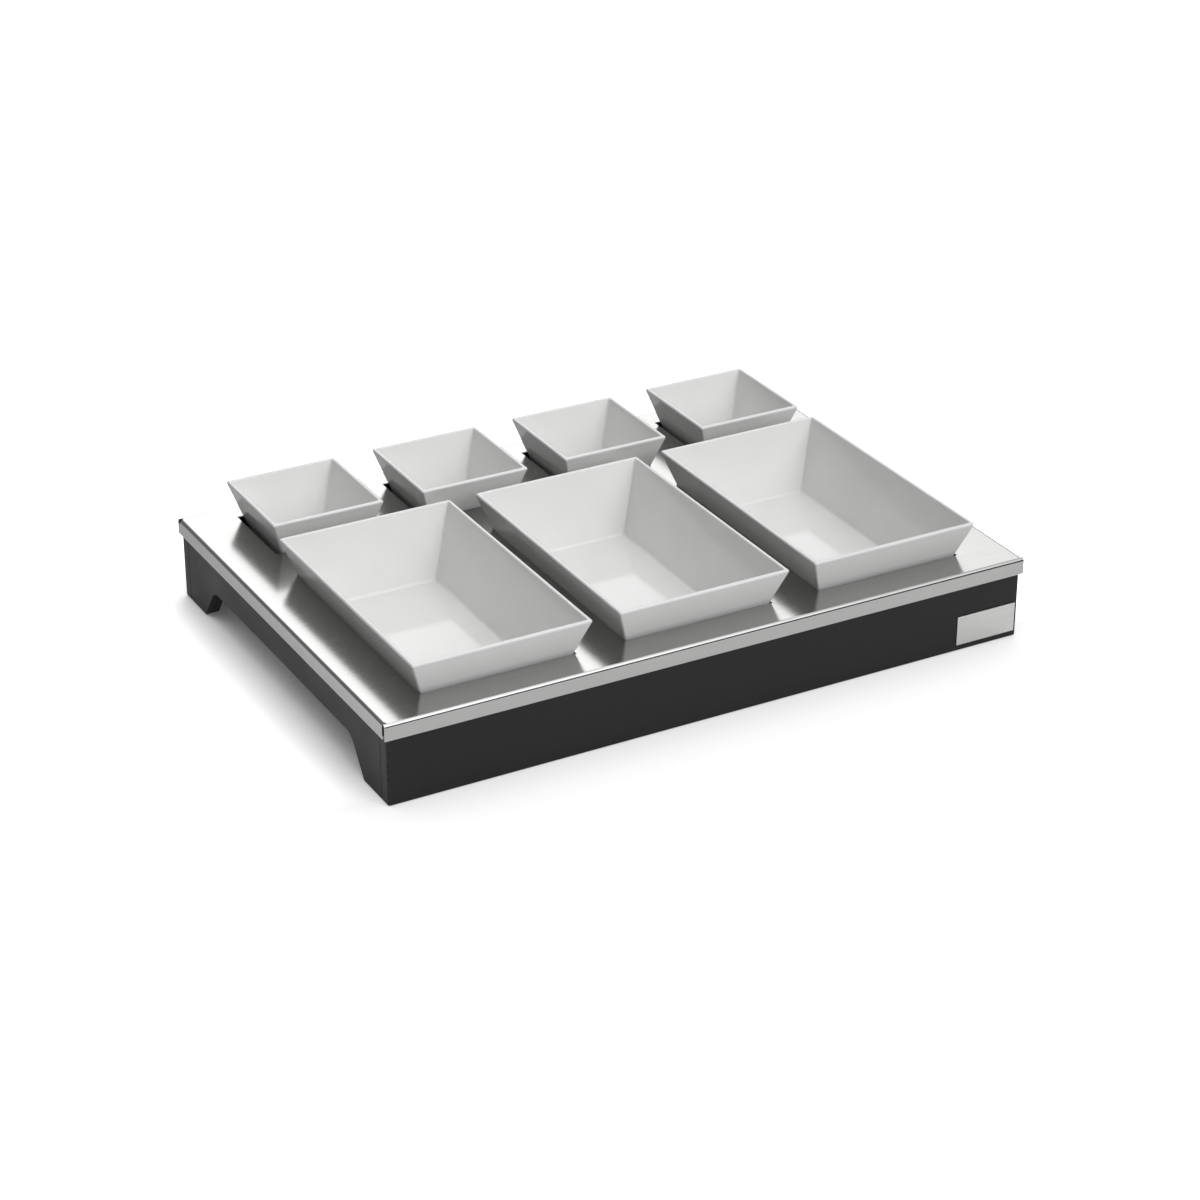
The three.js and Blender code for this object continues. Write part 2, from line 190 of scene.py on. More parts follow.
# %% Start a finish
def new_finish(name):
    """A material with its node tree and the shader that its sockets belong to."""
    material = bpy.data.materials.new(name)
    material.use_nodes = True
    return material, material.node_tree, material.node_tree.nodes["Principled BSDF"]


def own_place(tree):
    """The piece's own coordinates in metres."""
    return add_node(tree, "TexCoord", {}).outputs["Object"]


def noise(tree, place, scale, detail):
    """Cloudy noise on some coordinates."""
    sockets = {"Vector": place, "Scale": scale, "Detail": detail}
    return add_node(tree, "TexNoise", sockets).outputs[0]


def roughen(tree, shader, height, strength, depth):
    """Lets a height show on the surface as a bump."""
    sockets = {"Height": height, "Strength": strength, "Distance": depth}
    feed(tree, shader.inputs["Normal"], add_node(tree, "Bump", sockets).outputs[0])


print("finishes can be started")

# %% [markdown]
# ## The studio floor
# The stand is on a white sweep that melts into the background, with a soft shadow close to it. A
# backdrop that is simply bright would throw light back up at the stand. So the floor answers
# differently to what looks at it: the camera and mirror-like surfaces see a white floor that keeps
# its shadow, and the light that bounces off it onto the stand comes from a greyer one. Near the
# stand ambient occlusion deepens the shadow, more beside the ends than in front. From below the
# floor is clear, so that the underside can be seen.

# %% Tell direct rays from scattered ones
UNSCATTERED_LIMIT = 0.5


def seen_directly(tree):
    """One for the rays that show the backdrop to the camera, also by way of gloss or glass."""
    path = add_node(tree, "LightPath", {}).outputs
    gloss = combine(tree, "MAXIMUM", path["Is Camera Ray"], path["Is Glossy Ray"])
    glass = combine(tree, "MAXIMUM", gloss, path["Is Transmission Ray"])
    unscattered = combine(tree, "LESS_THAN", path["Diffuse Depth"], UNSCATTERED_LIMIT)
    return combine(tree, "MULTIPLY", glass, unscattered)


print("direct rays can be told from scattered ones")

# %% The floor as mirrors and bounced light see it
FLOOR_MIRRORED = 0.85
FLOOR_FAR = 0.08
FAR_ZONE = (0.37, 1.0)
BRIGHT_MIDDLE = (0, -0.2, 0)
MIRRORED_GLOW = 0.10
FLOOR_BOUNCE = 0.60

floor_finish, tree, shader = new_finish("studio_floor")
tree.nodes.remove(shader)
direct = seen_directly(tree)
place = own_place(tree)
reach = add_node(tree, "VectorMath", {0: place, 1: BRIGHT_MIDDLE}, operation="DISTANCE")
mirrored = between(tree, reach.outputs["Value"], FLOOR_MIRRORED, FLOOR_FAR, *FAR_ZONE)
off_camera = blend_values(tree, direct, FLOOR_BOUNCE, mirrored)
mirror_glow = between(tree, direct, 0.0, MIRRORED_GLOW)
print("floor nodes for mirrors:", len(tree.nodes))

# %% The floor as the camera sees it
Floor = namedtuple("Floor", "seen glow darkest")
BESIDE = Floor(seen=2.0, glow=0.14, darkest=0.40)
IN_FRONT = Floor(seen=0.60, glow=0.60, darkest=0.68)
FRONT_ZONE = (-0.185, -0.135)
SHADOW_REACH = 0.12

camera_ray = add_node(tree, "LightPath", {}).outputs["Is Camera Ray"]
depth = add_node(tree, "SeparateXYZ", {"Vector": place}).outputs["Y"]
ahead = between(tree, depth, 1.0, 0.0, *FRONT_ZONE)
open_sky = add_node(tree, "AmbientOcclusion", {"Distance": SHADOW_REACH}).outputs["AO"]
darkest = between(tree, ahead, BESIDE.darkest, IN_FRONT.darkest)
shade = between(tree, open_sky, darkest, 1.0)
seen_tone = between(tree, shade, 0.0, between(tree, ahead, BESIDE.seen, IN_FRONT.seen))
seen_glow = between(tree, shade, 0.0, between(tree, ahead, BESIDE.glow, IN_FRONT.glow))
tone = blend_values(tree, camera_ray, off_camera, seen_tone)
glow = blend_values(tree, camera_ray, mirror_glow, seen_glow)
print("floor nodes with the camera's:", len(tree.nodes))

# %% Clear from below
matt = add_node(tree, "BsdfDiffuse", {"Color": tone})
light = add_node(tree, "Emission", {"Strength": glow})
sweep = add_node(tree, "AddShader", {0: matt.outputs[0], 1: light.outputs[0]})
below = add_node(tree, "NewGeometry", {}).outputs["Backfacing"]
passed = add_node(tree, "LightPath", {}).outputs["Transparent Depth"]
see_through = add_node(tree, "Math", {0: below, 1: passed}, operation="ADD", use_clamp=True)
clear = add_node(tree, "BsdfTransparent", {})
sides = {0: see_through.outputs[0], 1: sweep.outputs[0], 2: clear.outputs[0]}
one_sided = add_node(tree, "MixShader", sides)
feed(tree, tree.nodes["Material Output"].inputs["Surface"], one_sided.outputs[0])
print("floor nodes:", len(tree.nodes))

# %% Lay the floor
FLOOR_SIDE = 12

bm = bmesh.new()
bmesh.ops.create_grid(bm, x_segments=1, y_segments=1, size=FLOOR_SIDE / 2)
floor_mesh = bpy.data.meshes.new("studio_floor")
bm.to_mesh(floor_mesh)
bm.free()
floor_mesh.materials.append(floor_finish)
floor = bpy.data.objects.new("studio_floor", floor_mesh)
bpy.context.scene.collection.objects.link(floor)
print("floor", [round(c, 2) for c in floor.dimensions])

# %% [markdown]
# ## The light
# The picture was lit by a large soft light from the front right, a bright panel behind the stand
# that whitens the steel, and little from the left, where the bowls' walls are dark. Area lamps
# could stand for all of this, but they would show their edges in the steel. Wide sun lamps give
# the same soft light everywhere, and the world fills in, weaker towards the left. The lamps from
# the front and the top don't show in mirrors. There polished surfaces see a room instead:
# brightest high at the front, which whitens the bend of the cover, dark low down, which draws the
# thin line under it, and dim at the sides.


# %% Lamps
def add_sun(name, towards, strength, width, mirrored):
    """A sun lamp from a direction, some degrees wide, that may show in mirrors."""
    lamp = bpy.data.lights.new(name, "SUN")
    lamp.energy = strength
    lamp.angle = math.radians(width)
    sun = bpy.data.objects.new(name, lamp)
    sun.rotation_euler = Vector(towards).to_track_quat("Z", "Y").to_euler()
    sun.visible_glossy = mirrored
    bpy.context.scene.collection.objects.link(sun)
    print(name, "energy", lamp.energy)


add_sun("front_light", (0.25, -0.80, 0.55), strength=1.45, width=45, mirrored=False)
add_sun("top_light", (0.05, -0.10, 0.99), strength=0.85, width=70, mirrored=False)
add_sun("back_panel", (0.40, 0.73, 0.56), strength=0.25, width=32, mirrored=True)

# %% Fill light
FILL_LEFT = 0.10
FILL_RIGHT = 0.42
FILL_SIDE_ZONE = (-0.7, 0.5)
FILL_BACK = 0.25
FILL_BACK_ZONE = (0.0, 0.9)

world = bpy.data.worlds.new("studio_world")
bpy.context.scene.world = world
world.use_nodes = True
tree = world.node_tree
tree.nodes.clear()
direction = add_node(tree, "TexCoord", {}).outputs["Generated"]
axes = add_node(tree, "SeparateXYZ", {"Vector": direction}).outputs
fill_side = between(tree, axes["X"], FILL_LEFT, FILL_RIGHT, *FILL_SIDE_ZONE)
fill_back = between(tree, axes["Y"], 0.0, FILL_BACK, *FILL_BACK_ZONE)
fill = combine(tree, "ADD", fill_side, fill_back)
print("fill light from", FILL_LEFT, "to", FILL_RIGHT)

# %% The room that mirrors see
BRIGHT_FRONT = 2.4
FRONT_TO_BACK = (-0.5, 0.5)
DARK_LOW = 0.05
LOW_AT_FRONT = (0.42, 0.50)
LOW_AT_BACK = (0.26, 0.33)
LOW_FROM_LEFT = (-0.2, 0.1)
DARK_LEFT = 0.22
LEFT_ZONE = (-0.15, 0.10)
DIM_RIGHT = 0.15
RIGHT_ZONE = (0.42, 0.65)

ahead = between(tree, axes["Y"], 1.0, 0.0, *FRONT_TO_BACK)
low_front = between(tree, axes["Z"], 1.0, 0.0, *LOW_AT_FRONT)
low_back = between(tree, axes["Z"], 1.0, 0.0, *LOW_AT_BACK)
low = blend_values(tree, ahead, low_back, low_front)
low_right = combine(tree, "MULTIPLY", low, between(tree, axes["X"], 0.0, 1.0, *LOW_FROM_LEFT))
high_room = between(tree, ahead, 1.0, BRIGHT_FRONT)
low_room = blend_values(tree, low_right, high_room, DARK_LOW)
left_room = between(tree, axes["X"], DARK_LEFT, 1.0, *LEFT_ZONE)
right_room = between(tree, axes["X"], 1.0, DIM_RIGHT, *RIGHT_ZONE)
room = combine(tree, "MULTIPLY", low_room, combine(tree, "MULTIPLY", left_room, right_room))
camera_ray = add_node(tree, "LightPath", {}).outputs["Is Camera Ray"]
seen = combine(tree, "MAXIMUM", room, camera_ray)
lit = blend_values(tree, seen_directly(tree), fill, seen)
background = add_node(tree, "Background", {"Color": (1, 1, 1, 1), "Strength": lit})
add_node(tree, "OutputWorld", {"Surface": background.outputs[0]})
print("world nodes:", len(tree.nodes))

# %% [markdown]
# ## The porcelain glaze
# Under a thin clear glaze the body of the bowls is a soft white that clouds slightly from place to
# place. The glaze pools a little unevenly, so reflections waver, and the foot ring is left bare,
# because glaze would stick to the kiln shelf. Two materials could share a bowl. One principled
# shader holds both instead: an attribute on the faces says where the bare body shows, and noise on
# the piece's own coordinates clouds the colour and ripples the surface.

# %% Glaze
GLAZE_WHITES = ((0.760, 0.760, 0.752, 1), (0.790, 0.790, 0.785, 1))
BARE_BODY = ((0.58, 0.55, 0.50, 1), (0.70, 0.67, 0.62, 1))
CLOUD_EDGES = (0.35, 0.65)
GLAZE_GLOSS = (0.06, 0.10)
BARE_DULLNESS = 0.75

glaze, tree, shader = new_finish("white_glaze")
place = own_place(tree)
cloud = noise(tree, place, scale=16, detail=3)
ripple = noise(tree, place, scale=70, detail=1)
grit = noise(tree, place, scale=2500, detail=2)
unglazed = add_node(tree, "Attribute", {}, attribute_name="unglazed").outputs["Fac"]
body_white = blend_colours(tree, between(tree, cloud, 0, 1, *CLOUD_EDGES), *GLAZE_WHITES)
bare_body = blend_colours(tree, grit, *BARE_BODY)
feed(tree, shader.inputs["Base Color"], blend_colours(tree, unglazed, body_white, bare_body))
gloss = between(tree, ripple, *GLAZE_GLOSS)
feed(tree, shader.inputs["Roughness"], blend_values(tree, unglazed, gloss, BARE_DULLNESS))
roughen(tree, shader, ripple, strength=0.25, depth=0.10 * MM)
print("glaze nodes:", len(tree.nodes))

# %% [markdown]
# ## The bowls
# A bowl is one wall that runs from the recess underneath, over the foot ring, up the flared
# outside, over a rounded lip and down the inside to the floor. It could be a box with its faces
# pushed about, but then its roundings wouldn't follow the corners. Here a rounded rectangle is
# extruded ring by ring along that profile: each step says how far the ring moves in, how high it
# lies and how round its corners are.

# %% Points on a round stretch
ROUND_STEPS = 6


def arc(middle, radius, start, end):
    """Points of the profile, as (inset, z), between two angles in degrees."""
    turns = [i / ROUND_STEPS for i in range(ROUND_STEPS + 1)]
    angles = [math.radians(start + (end - start) * turn) for turn in turns]
    return [(middle[0] + radius * math.cos(a), middle[1] + radius * math.sin(a)) for a in angles]


print("points on a quarter turn:", len(arc((0, 0), 1, 0, 90)))

# %% Foot ring in profile
LIP_DROP = 1.2 * MM
RING_HEIGHT = 2.5 * MM
RING_INSET = 3 * MM
RING_WIDTH = 5 * MM
RING_EDGE = 0.6 * MM


def foot_profile(height, tilt):
    """From the recess under a bowl, round its foot ring, to the foot of its outer wall."""
    wall_foot = (height - LIP_DROP - RING_HEIGHT) * math.tan(math.radians(tilt))
    ring_outer = wall_foot + RING_INSET
    ring_inner = ring_outer + RING_WIDTH
    ring_slope = math.degrees(math.atan2(RING_INSET, RING_HEIGHT))
    points = [(ring_inner, RING_HEIGHT)]
    points += arc((ring_inner - RING_EDGE, RING_EDGE), RING_EDGE, 0, -90)
    points += arc((ring_outer + RING_EDGE, RING_EDGE), RING_EDGE, 270, 180 + ring_slope)
    points += [(wall_foot + RING_EDGE, RING_HEIGHT - RING_EDGE)]
    points += [(wall_foot - RING_EDGE / 2, RING_HEIGHT + RING_EDGE)]
    return points


print("foot ring", RING_WIDTH / MM, "mm wide")

# %% Lip and floor in profile
LIP_WIDTH = 4 * MM
LIP_RADIUS = 1.5 * MM
FLOOR_THICKNESS = 4 * MM
FLOOR_FILLET = 3.5 * MM


def lip_profile(height, tilt, inner_tilt):
    """Over the rounded lip, from the outer wall to the inner one."""
    outside = math.radians(tilt)
    inside = math.radians(inner_tilt)
    below = LIP_RADIUS - LIP_DROP
    outer_in = (LIP_RADIUS + below * math.sin(outside)) / math.cos(outside)
    inner_in = LIP_WIDTH - (LIP_RADIUS - below * math.sin(inside)) / math.cos(inside)
    points = arc((outer_in, height - LIP_RADIUS), LIP_RADIUS, 180 + tilt, 90)
    points += arc((inner_in, height - LIP_RADIUS), LIP_RADIUS, 90, inner_tilt)
    return points


def floor_profile(height, inner_tilt):
    """The fillet at the foot of the inner wall, down to the floor."""
    inside = math.radians(inner_tilt)
    floor_z = RING_HEIGHT + FLOOR_THICKNESS
    meets = floor_z + FLOOR_FILLET * (1 - math.sin(inside))
    wall_in = LIP_WIDTH + (height - LIP_DROP - meets) * math.tan(inside)
    middle = (wall_in + FLOOR_FILLET * math.cos(inside), floor_z + FLOOR_FILLET)
    return arc(middle, FLOOR_FILLET, 180 + inner_tilt, 270)


print("floor", FLOOR_THICKNESS / MM, "mm thick")

# %% All rings of a bowl
WALL_TILT = {"large": 20, "small": 18.5}
INNER_EXTRA_TILT = 5
FOOT_CORNER = 1.6 * MM
RIM_CORNER = 2 * MM
INNER_CORNER = {"large": 1.5 * MM, "small": 2.5 * MM}

Step = namedtuple("Step", "inset z corner")


def bowl_steps(height, family):
    """The rings of a bowl, from the recess under it round to its floor."""
    tilt = WALL_TILT[family]
    inner_tilt = tilt + INNER_EXTRA_TILT
    inner_corner = INNER_CORNER[family]
    steps = [Step(inset, z, FOOT_CORNER) for inset, z in foot_profile(height, tilt)]
    for inset, z in lip_profile(height, tilt, inner_tilt):
        across = min(max(inset / LIP_WIDTH, 0), 1)
        steps.append(Step(inset, z, RIM_CORNER + (inner_corner - RIM_CORNER) * across))
    steps += [Step(inset, z, inner_corner) for inset, z in floor_profile(height, inner_tilt)]
    return steps


bowl_lo, bowl_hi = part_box("large_bowl_1")
print("rings of a bowl:", len(bowl_steps(bowl_hi.z - bowl_lo.z, "large")))

# %% Draw a rounded rectangle
CORNER_SEGMENTS = 6


def rounded_rectangle(bm, half_x, half_y, z, corner):
    """A flat face with round corners about the vertical axis, given as the edges round it."""
    known = set(bm.edges)
    made = bmesh.ops.create_grid(bm, x_segments=1, y_segments=1, size=1)
    bmesh.ops.scale(bm, verts=made["verts"], vec=(half_x, half_y, 1))
    bmesh.ops.translate(bm, verts=made["verts"], vec=(0, 0, z))
    bmesh.ops.bevel(bm, geom=made["verts"], offset=corner, segments=CORNER_SEGMENTS, profile=0.5,
                    affect="VERTICES", material=-1)
    return [edge for edge in bm.edges if edge not in known]


print("corner of a ring:", CORNER_SEGMENTS, "segments")

# %% Extrude a ring
SIDES = (-1, 1)


def pull(bm, edges, move=(0, 0, 0)):
    """Extrudes some edges, moves the new ones, and gives them and their ends."""
    made = bmesh.ops.extrude_edge_only(bm, edges=edges)["geom"]
    ends = [item for item in made if isinstance(item, bmesh.types.BMVert)]
    bmesh.ops.translate(bm, verts=ends, vec=move)
    new_edges = [item for item in made if isinstance(item, bmesh.types.BMEdge)]
    return [edge for edge in new_edges if all(v in ends for v in edge.verts)], ends


def next_ring(bm, ring, here, there, half):
    """Extrudes the open ring of a bowl by one step and gives the new ring."""
    ring, verts = pull(bm, ring)
    grow = there.corner / here.corner
    inwards = there.inset + there.corner - here.inset - here.corner
    middle_x = half.x - here.inset - here.corner
    middle_y = half.y - here.inset - here.corner
    for sx in SIDES:
        for sy in SIDES:
            corner = [v for v in verts if v.co.x * sx > 0 and v.co.y * sy > 0]
            about = Matrix.Translation((-sx * middle_x, -sy * middle_y, 0))
            move = (-sx * inwards, -sy * inwards, there.z - here.z)
            bmesh.ops.scale(bm, verts=corner, vec=(grow, grow, 1), space=about)
            bmesh.ops.translate(bm, verts=corner, vec=move)
    return ring


print("rings can be extruded")


# %% Make the bowls
def make_bowl(node):
    """One bowl in its cut-out."""
    lo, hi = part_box(node)
    half = (hi - lo) / 2
    middle = (lo + hi) / 2
    steps = bowl_steps(hi.z - lo.z, node.split("_")[0])
    bm = bmesh.new()
    bare = bm.faces.layers.float.new("unglazed")
    first = steps[0]
    ring = rounded_rectangle(bm, half.x - first.inset, half.y - first.inset, first.z, first.corner)
    for here, there in zip(steps, steps[1:]):
        ring = next_ring(bm, ring, here, there, half)
    bmesh.ops.edgeloop_fill(bm, edges=ring)
    bmesh.ops.recalc_face_normals(bm, faces=bm.faces)
    for face in bm.faces:
        face[bare] = float(max(v.co.z for v in face.verts) < RING_EDGE / 2)
    bmesh.ops.translate(bm, verts=bm.verts, vec=(middle.x, middle.y, lo.z))
    even_shading(finish_piece(node, bm, glaze))


bowl_nodes = sorted(node for node in body_of if "_bowl_" in node)
for node in bowl_nodes:
    make_bowl(node)

# %% [markdown]
# ## The brushed steel
# The sheet was brushed in one direction, along the stand, before it was folded, so the marks run
# along the front and straight down on the ends. Noise stretched along one axis of space would run
# the wrong way on the ends. A UV map that unrolls the folds keeps the marks true to the sheet. The
# marks are fine: they vary the tone and the gloss a little and barely touch the surface.

# %% Brushed metal
LONG_MARKS = (9, 1600, 1)
FINE_MARKS = (40, 5200, 1)
MARK_EDGES = (0.75, 1.25)


def brushed_metal(name, dark, light, gloss, spread):
    """A metal with fine marks along the first axis of the UV map called grain."""
    material, tree, shader = new_finish(name)
    sheet = add_node(tree, "UVMap", {}, uv_map="grain").outputs[0]
    along = add_node(tree, "Mapping", {"Vector": sheet, "Scale": LONG_MARKS}).outputs[0]
    along_finely = add_node(tree, "Mapping", {"Vector": sheet, "Scale": FINE_MARKS}).outputs[0]
    broad = noise(tree, along, scale=1, detail=3)
    fine = noise(tree, along_finely, scale=1, detail=2)
    wiped = noise(tree, sheet, scale=7, detail=2)
    marks = combine(tree, "ADD", broad, fine)
    tone = between(tree, marks, 0, 1, *MARK_EDGES)
    feed(tree, shader.inputs["Base Color"], blend_colours(tree, tone, dark, light))
    smear = combine(tree, "MULTIPLY", tone, wiped)
    feed(tree, shader.inputs["Roughness"], between(tree, smear, gloss, gloss + spread))
    roughen(tree, shader, marks, strength=0.08, depth=0.02 * MM)
    shader.inputs["Metallic"].default_value = 1
    print(name, "nodes:", len(tree.nodes))
    return material


sheet_steel = brushed_metal("brushed_sheet", dark=(0.47, 0.47, 0.465, 1),
                            light=(0.53, 0.53, 0.525, 1), gloss=0.16, spread=0.08)


# %% Unroll a folded piece for its marks
def unroll(bm, top):
    """Lays the faces out flat from the top down, so that marks run on over a fold."""
    layer = bm.loops.layers.uv.new("grain")
    bm.normal_update()
    for face in bm.faces:
        lean = face.normal
        for loop in face.loops:
            x, y, z = loop.vert.co
            drop = top - z
            if abs(lean.x) > abs(lean.y):
                loop[layer].uv = (x + math.copysign(drop, lean.x), y)
            else:
                loop[layer].uv = (x, y + math.copysign(drop, lean.y))


print("marks follow the folds")

# %% [markdown]
# ## The cover
# The cover is one thin sheet with cut-outs, folded down on four sides. The long skirts run to the
# corners and the end skirts stop short, so that a slit is left beside each corner, where the bends
# would have met. At the rear a narrow tab below the bend closes most of it. A solid block hollowed
# out would need its walls kept even by hand. So the outside is made as a single skin: a channel
# with its two long edges bevelled into bends, the ends spun down from the edge of the plate, and
# the plate filled in round the cut-outs. Solidify then gives the skin the thickness of the sheet,
# inwards.

# %% Fold the long skirts
BEND_RADIUS = 3 * MM
BEND_SEGMENTS = 8
FACING = 0.99

cover_lo, cover_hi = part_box("steel_cover")
cover = bmesh.new()
bmesh.ops.create_cube(cover, size=1)
bmesh.ops.scale(cover, verts=cover.verts, vec=cover_hi - cover_lo)
bmesh.ops.translate(cover, verts=cover.verts, vec=(cover_lo + cover_hi) / 2)
cover.normal_update()
open_sides = [f for f in cover.faces if f.normal.z < -FACING or abs(f.normal.x) > FACING]
bmesh.ops.delete(cover, geom=open_sides, context="FACES")
folds = [edge for edge in cover.edges if edge.is_manifold]
bmesh.ops.bevel(cover, geom=folds, offset=BEND_RADIUS, offset_type="OFFSET",
                segments=BEND_SEGMENTS, profile=0.5, affect="EDGES", material=-1)
print("long skirts folded:", len(cover.faces), "faces")

# %% Mark where the plate ends
TINY = 0.01 * MM


def cut_faces(bm, faces, point, normal):
    """Cuts some faces of a mesh along a plane and leaves both sides."""
    edges = dict.fromkeys(edge for face in faces for edge in face.edges)
    verts = dict.fromkeys(vert for face in faces for vert in face.verts)
    bmesh.ops.bisect_plane(bm, geom=[*verts, *edges, *faces], dist=TINY / 10,
                           plane_co=point, plane_no=normal)


def on_top(point):
    """Whether a point lies in the upper face of the plate."""
    return point.z > cover_hi.z - TINY


plate_end = cover_hi.x - BEND_RADIUS
for x in (-plate_end, plate_end):
    cut_faces(cover, cover.faces[:], (x, 0, 0), (1, 0, 0))
level_faces = [face for face in cover.faces if on_top(face.calc_center_median())]
bmesh.ops.delete(cover, geom=level_faces, context="FACES")
print("plate ends at", round(plate_end / MM, 1), "mm")

# %% Fold the end skirts
SHEET = 1.2 * MM
CORNER_SLIT = 3.8 * MM
REAR_SLIT = 0.2 * MM
TAB_DROP = 1 * MM


def edge_at(bm, middle):
    """The edge whose middle lies nearest to a point."""
    return min(bm.edges, key=lambda e: ((e.verts[0].co + e.verts[1].co) / 2 - middle).length)


def fold_end(bm, side):
    """Spins one end's skirt down from the edge of the plate and ties that to the long bends."""
    reach = cover_hi.y - SHEET - CORNER_SLIT
    bend_middle = Vector((side * plate_end, 0, cover_hi.z - BEND_RADIUS))
    plate_edge = [v for v in bm.verts if on_top(v.co) and abs(v.co.x - bend_middle.x) < TINY]
    ends = [bm.verts.new((bend_middle.x, y, cover_hi.z)) for y in (-reach, reach)]
    fold = bm.edges.new(ends)
    for end in ends:
        bm.edges.new((end, min(plate_edge, key=lambda v: (v.co - end.co).length)))
    bent = bmesh.ops.spin(bm, geom=[*ends, fold], cent=bend_middle, axis=(0, side, 0),
                          angle=math.pi / 2, steps=BEND_SEGMENTS)["geom_last"]
    low_edge = [item for item in bent if isinstance(item, bmesh.types.BMEdge)]
    tab_top = bend_middle.z - TAB_DROP
    low_edge, _ = pull(bm, low_edge, (0, 0, -TAB_DROP))
    pull(bm, low_edge, (0, 0, cover_lo.z - tab_top))
    rear_edge = edge_at(bm, Vector((side * cover_hi.x, reach, (tab_top + cover_lo.z) / 2)))
    pull(bm, [rear_edge], (0, CORNER_SLIT - REAR_SLIT, 0))


for side in SIDES:
    fold_end(cover, side)
print("end skirts folded:", len(cover.faces), "faces")

# %% Cut out the places for the bowls
CUT_CORNER = 0.6 * MM


def cut_out(node):
    """Lowest and highest corner of the opening under a bowl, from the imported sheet."""
    lo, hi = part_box(node)
    sheet = [v.co for v in frame["nodes"]["steel_cover"].data.vertices if on_top(v.co)]
    inside = [co for co in sheet if lo.x < co.x < hi.x and lo.y < co.y < hi.y]
    xs = [co.x for co in inside]
    ys = [co.y for co in inside]
    return (min(xs), min(ys)), (max(xs), max(ys))


for node in bowl_nodes:
    low, high = cut_out(node)
    half_x = (high[0] - low[0]) / 2
    half_y = (high[1] - low[1]) / 2
    outline = rounded_rectangle(cover, half_x, half_y, cover_hi.z, CUT_CORNER)
    outline_verts = list(dict.fromkeys(v for edge in outline for v in edge.verts))
    bmesh.ops.translate(cover, verts=outline_verts, vec=(low[0] + half_x, low[1] + half_y, 0))
    inner_face = [face for face in cover.faces if on_top(face.calc_center_median())]
    bmesh.ops.delete(cover, geom=inner_face, context="FACES_ONLY")
plate_verts = {v for v in cover.verts if on_top(v.co) and abs(v.co.x) < plate_end + TINY}
level = [edge for edge in cover.edges if all(v in plate_verts for v in edge.verts)]
bmesh.ops.triangle_fill(cover, use_beauty=True, use_dissolve=False, edges=level, normal=(0, 0, 1))
print("cut-outs:", len(bowl_nodes), "faces:", len(cover.faces))

# %% Give the sheet its thickness
SHEET_EDGE = 0.2 * MM
BURR_ANGLE = math.radians(50)

bmesh.ops.recalc_face_normals(cover, faces=cover.faces)
cover.normal_update()
if max(cover.faces, key=lambda face: face.calc_area()).normal.z < 0:
    bmesh.ops.reverse_faces(cover, faces=cover.faces)
unroll(cover, cover_hi.z)
cover_piece = finish_piece("steel_cover", cover, sheet_steel)
thickness = cover_piece.modifiers.new("sheet thickness", "SOLIDIFY")
thickness.thickness = SHEET
thickness.offset = -1
thickness.use_even_offset = True
thickness.use_quality_normals = True
burr = cover_piece.modifiers.new("deburred edges", "BEVEL")
burr.width = SHEET_EDGE
burr.segments = 2
burr.limit_method = "ANGLE"
burr.angle_limit = BURR_ANGLE
even_shading(cover_piece)
print("sheet", SHEET / MM, "mm thick")

# %% [markdown]
# ## The black lacquer
# The boards have a sprayed satin lacquer: nearly black, with the faint orange peel that spraying
# leaves, and a gloss that changes a little from place to place. Where edges are eased, hands and
# trays rub it slightly paler and duller. Wear could come from the curvature that a render finds,
# but an export loses that. The easing is marked as an attribute on the faces instead, so the wear
# stays on the edges.

# %% Lacquer
BLACKS = ((0.0100, 0.0100, 0.0100, 1), (0.0140, 0.0140, 0.0138, 1))
RUBBED_BLACK = (0.030, 0.030, 0.029, 1)
SCUFF_EDGES = (0.45, 0.70)
PATCH_EDGES = (0.3, 0.7)
SATIN = (0.34, 0.44)
RUBBED_DULLNESS = 0.55
LACQUER_SHINE = 0.28

lacquer, tree, shader = new_finish("black_lacquer")
place = own_place(tree)
peel = noise(tree, place, scale=650, detail=1)
patch = noise(tree, place, scale=18, detail=3)
scuff = noise(tree, place, scale=240, detail=3)
eased = add_node(tree, "Attribute", {}, attribute_name="eased").outputs["Fac"]
rubbed = combine(tree, "MULTIPLY", eased, between(tree, scuff, 0, 1, *SCUFF_EDGES))
black = blend_colours(tree, patch, *BLACKS)
feed(tree, shader.inputs["Base Color"], blend_colours(tree, rubbed, black, RUBBED_BLACK))
satin = between(tree, patch, *SATIN, *PATCH_EDGES)
feed(tree, shader.inputs["Roughness"], blend_values(tree, rubbed, satin, RUBBED_DULLNESS))
roughen(tree, shader, peel, strength=0.12, depth=0.03 * MM)
shader.inputs["Specular IOR Level"].default_value = LACQUER_SHINE
print("lacquer nodes:", len(tree.nodes))

# %% [markdown]
# ## The boards of the base
# The front and rear boards run the whole length and cover the ends of the other two. Their outer
# corners are rounded and every other edge is eased a little, so that a fine groove shows where two
# boards meet. A bevel modifier would treat all edges alike, so the edges are chosen and bevelled
# in the mesh.

# %% Saw and ease a board
SHARP = math.radians(35)


def board(lo, hi):
    """A sawn board between two corners, with a mark for its eased edges."""
    bm = bmesh.new()
    bm.faces.layers.float.new("eased")
    bmesh.ops.create_cube(bm, size=1)
    bmesh.ops.scale(bm, verts=bm.verts, vec=hi - lo)
    bmesh.ops.translate(bm, verts=bm.verts, vec=(lo + hi) / 2)
    return bm


def ease(bm, edges, radius, segments=3):
    """Rounds some edges over and marks the new faces."""
    layer = bm.faces.layers.float["eased"]
    made = bmesh.ops.bevel(bm, geom=edges, offset=radius, offset_type="OFFSET", segments=segments,
                           profile=0.5, affect="EDGES", material=-1)
    for face in made["faces"]:
        face[layer] = 1.0


